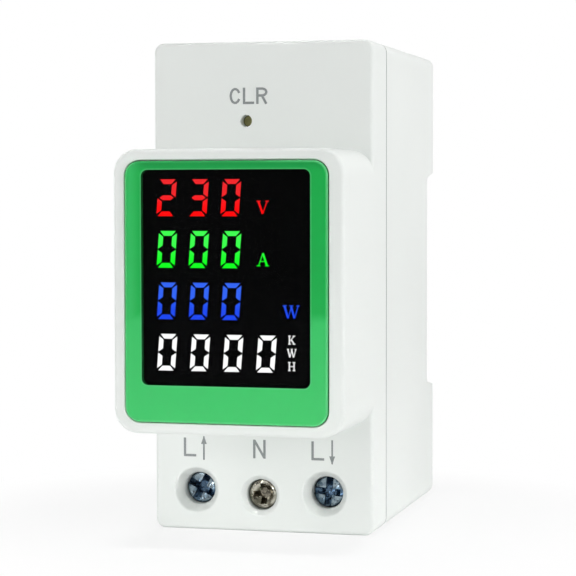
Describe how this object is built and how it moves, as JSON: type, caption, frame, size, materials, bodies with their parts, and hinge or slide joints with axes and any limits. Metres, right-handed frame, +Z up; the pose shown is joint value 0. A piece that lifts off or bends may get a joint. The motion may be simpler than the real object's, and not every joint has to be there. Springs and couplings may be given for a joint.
{
  "type": "digital power meter",
  "caption": "Narrow rail-mounted power meter with a framed lit display in a deep hood, a pin-hole reset and screw terminals below.",
  "frame": {"origin": "middle of the bottom face of the overall box", "axes": "+Z up along the height, the display faces -Y, +Y towards the mounting rail, +X to the right seen from the front"},
  "size_m": [0.036, 0.0706, 0.078],
  "materials": {
    "housing": "satin",
    "fascia_green": "gloss",
    "smoked_window": "gloss",
    "black_plastic": "satin",
    "red_light": "gloss",
    "green_light": "gloss",
    "blue_light": "gloss",
    "white_light": "gloss",
    "print_grey": "matte",
    "circuit_board": "satin",
    "tinned_metal": "satin",
    "copper": "satin",
    "zinc_dark": "satin",
    "nickel": "satin",
    "plated_cage": "satin",
    "spring_steel": "satin",
    "potting": "satin",
    "sleeve_nylon": "satin",
    "capacitor_sleeve": "gloss",
    "capacitor_box": "satin",
    "resistor_body": "matte",
    "ferrite": "matte",
    "button_plastic": "satin",
    "latch_plastic": "satin"
  },
  "bodies": {
    "housing": {"front_shell": "housing", "rear_shell": "housing", "fascia": "fascia_green", "display_window": "smoked_window", "front_marks": "print_grey", "line_bus_bar": "copper", "neutral_tab": "copper", "latch_spring": "spring_steel", "display_module": "black_plastic", "voltage_digits": "red_light", "current_digits": "green_light", "power_digits": "blue_light", "energy_digits": "white_light", "display_pins": "tinned_metal", "display_board": "circuit_board", "control_board": "circuit_board", "power_board": "circuit_board", "link_pins": "tinned_metal", "link_headers": "black_plastic", "board_screws": "nickel", "reset_switch": "black_plastic", "line_tap": "tinned_metal", "current_transformer": "potting", "bar_sleeve": "sleeve_nylon", "transformer_leads": "tinned_metal", "bulk_capacitor": "capacitor_sleeve", "filter_capacitor": "capacitor_sleeve", "film_capacitor": "capacitor_box", "varistor": "potting", "fuse_resistor": "resistor_body", "inductor": "ferrite", "metering_chip": "black_plastic", "controller_chip": "black_plastic", "rectifier": "black_plastic"},
    "line_in_screw": {"line_in_screw": "zinc_dark"},
    "line_in_cage": {"line_in_cage": "plated_cage"},
    "neutral_screw": {"neutral_screw": "nickel"},
    "neutral_cage": {"neutral_cage": "plated_cage"},
    "line_out_screw": {"line_out_screw": "zinc_dark"},
    "line_out_cage": {"line_out_cage": "plated_cage"},
    "reset_plunger": {"reset_plunger": "button_plastic"},
    "rail_latch": {"rail_latch": "latch_plastic"}
  },
  "joints": [
    {"name": "line_in_screw_turn", "type": "hinge", "parent": "housing", "child": "line_in_screw", "pos_m": [-0.0111, -0.0122, 0.0064], "axis": [0, 1, 0], "range_deg": [0, 2880]},
    {"name": "line_in_cage_lift", "type": "slide", "parent": "housing", "child": "line_in_cage", "axis": [0, -1, 0], "range_m": [0, 0.0056]},
    {"name": "neutral_screw_turn", "type": "hinge", "parent": "housing", "child": "neutral_screw", "pos_m": [-0.0005, -0.0133, 0.0058], "axis": [0, 1, 0], "range_deg": [0, 2880]},
    {"name": "neutral_cage_lift", "type": "slide", "parent": "housing", "child": "neutral_cage", "axis": [0, -1, 0], "range_m": [0, 0.0048]},
    {"name": "line_out_screw_turn", "type": "hinge", "parent": "housing", "child": "line_out_screw", "pos_m": [0.0101, -0.0122, 0.0064], "axis": [0, 1, 0], "range_deg": [0, 2880]},
    {"name": "line_out_cage_lift", "type": "slide", "parent": "housing", "child": "line_out_cage", "axis": [0, -1, 0], "range_m": [0, 0.0056]},
    {"name": "reset_press", "type": "slide", "parent": "housing", "child": "reset_plunger", "axis": [0, 1, 0], "range_m": [0, 0.00025], "stiffness_N_per_m": 400, "springref_m": -0.001},
    {"name": "latch_pull", "type": "slide", "parent": "housing", "child": "rail_latch", "axis": [0, 0, -1], "range_m": [0, 0.003], "stiffness_N_per_m": 300, "springref_m": -0.003, "deforming": ["latch_spring"]}
  ],
  "couplings": [
    {"joint": "line_in_screw_turn", "follows": "line_in_cage_lift", "rad_per_m": 8976},
    {"joint": "neutral_screw_turn", "follows": "neutral_cage_lift", "rad_per_m": 10472},
    {"joint": "line_out_screw_turn", "follows": "line_out_cage_lift", "rad_per_m": 8976}
  ]
}
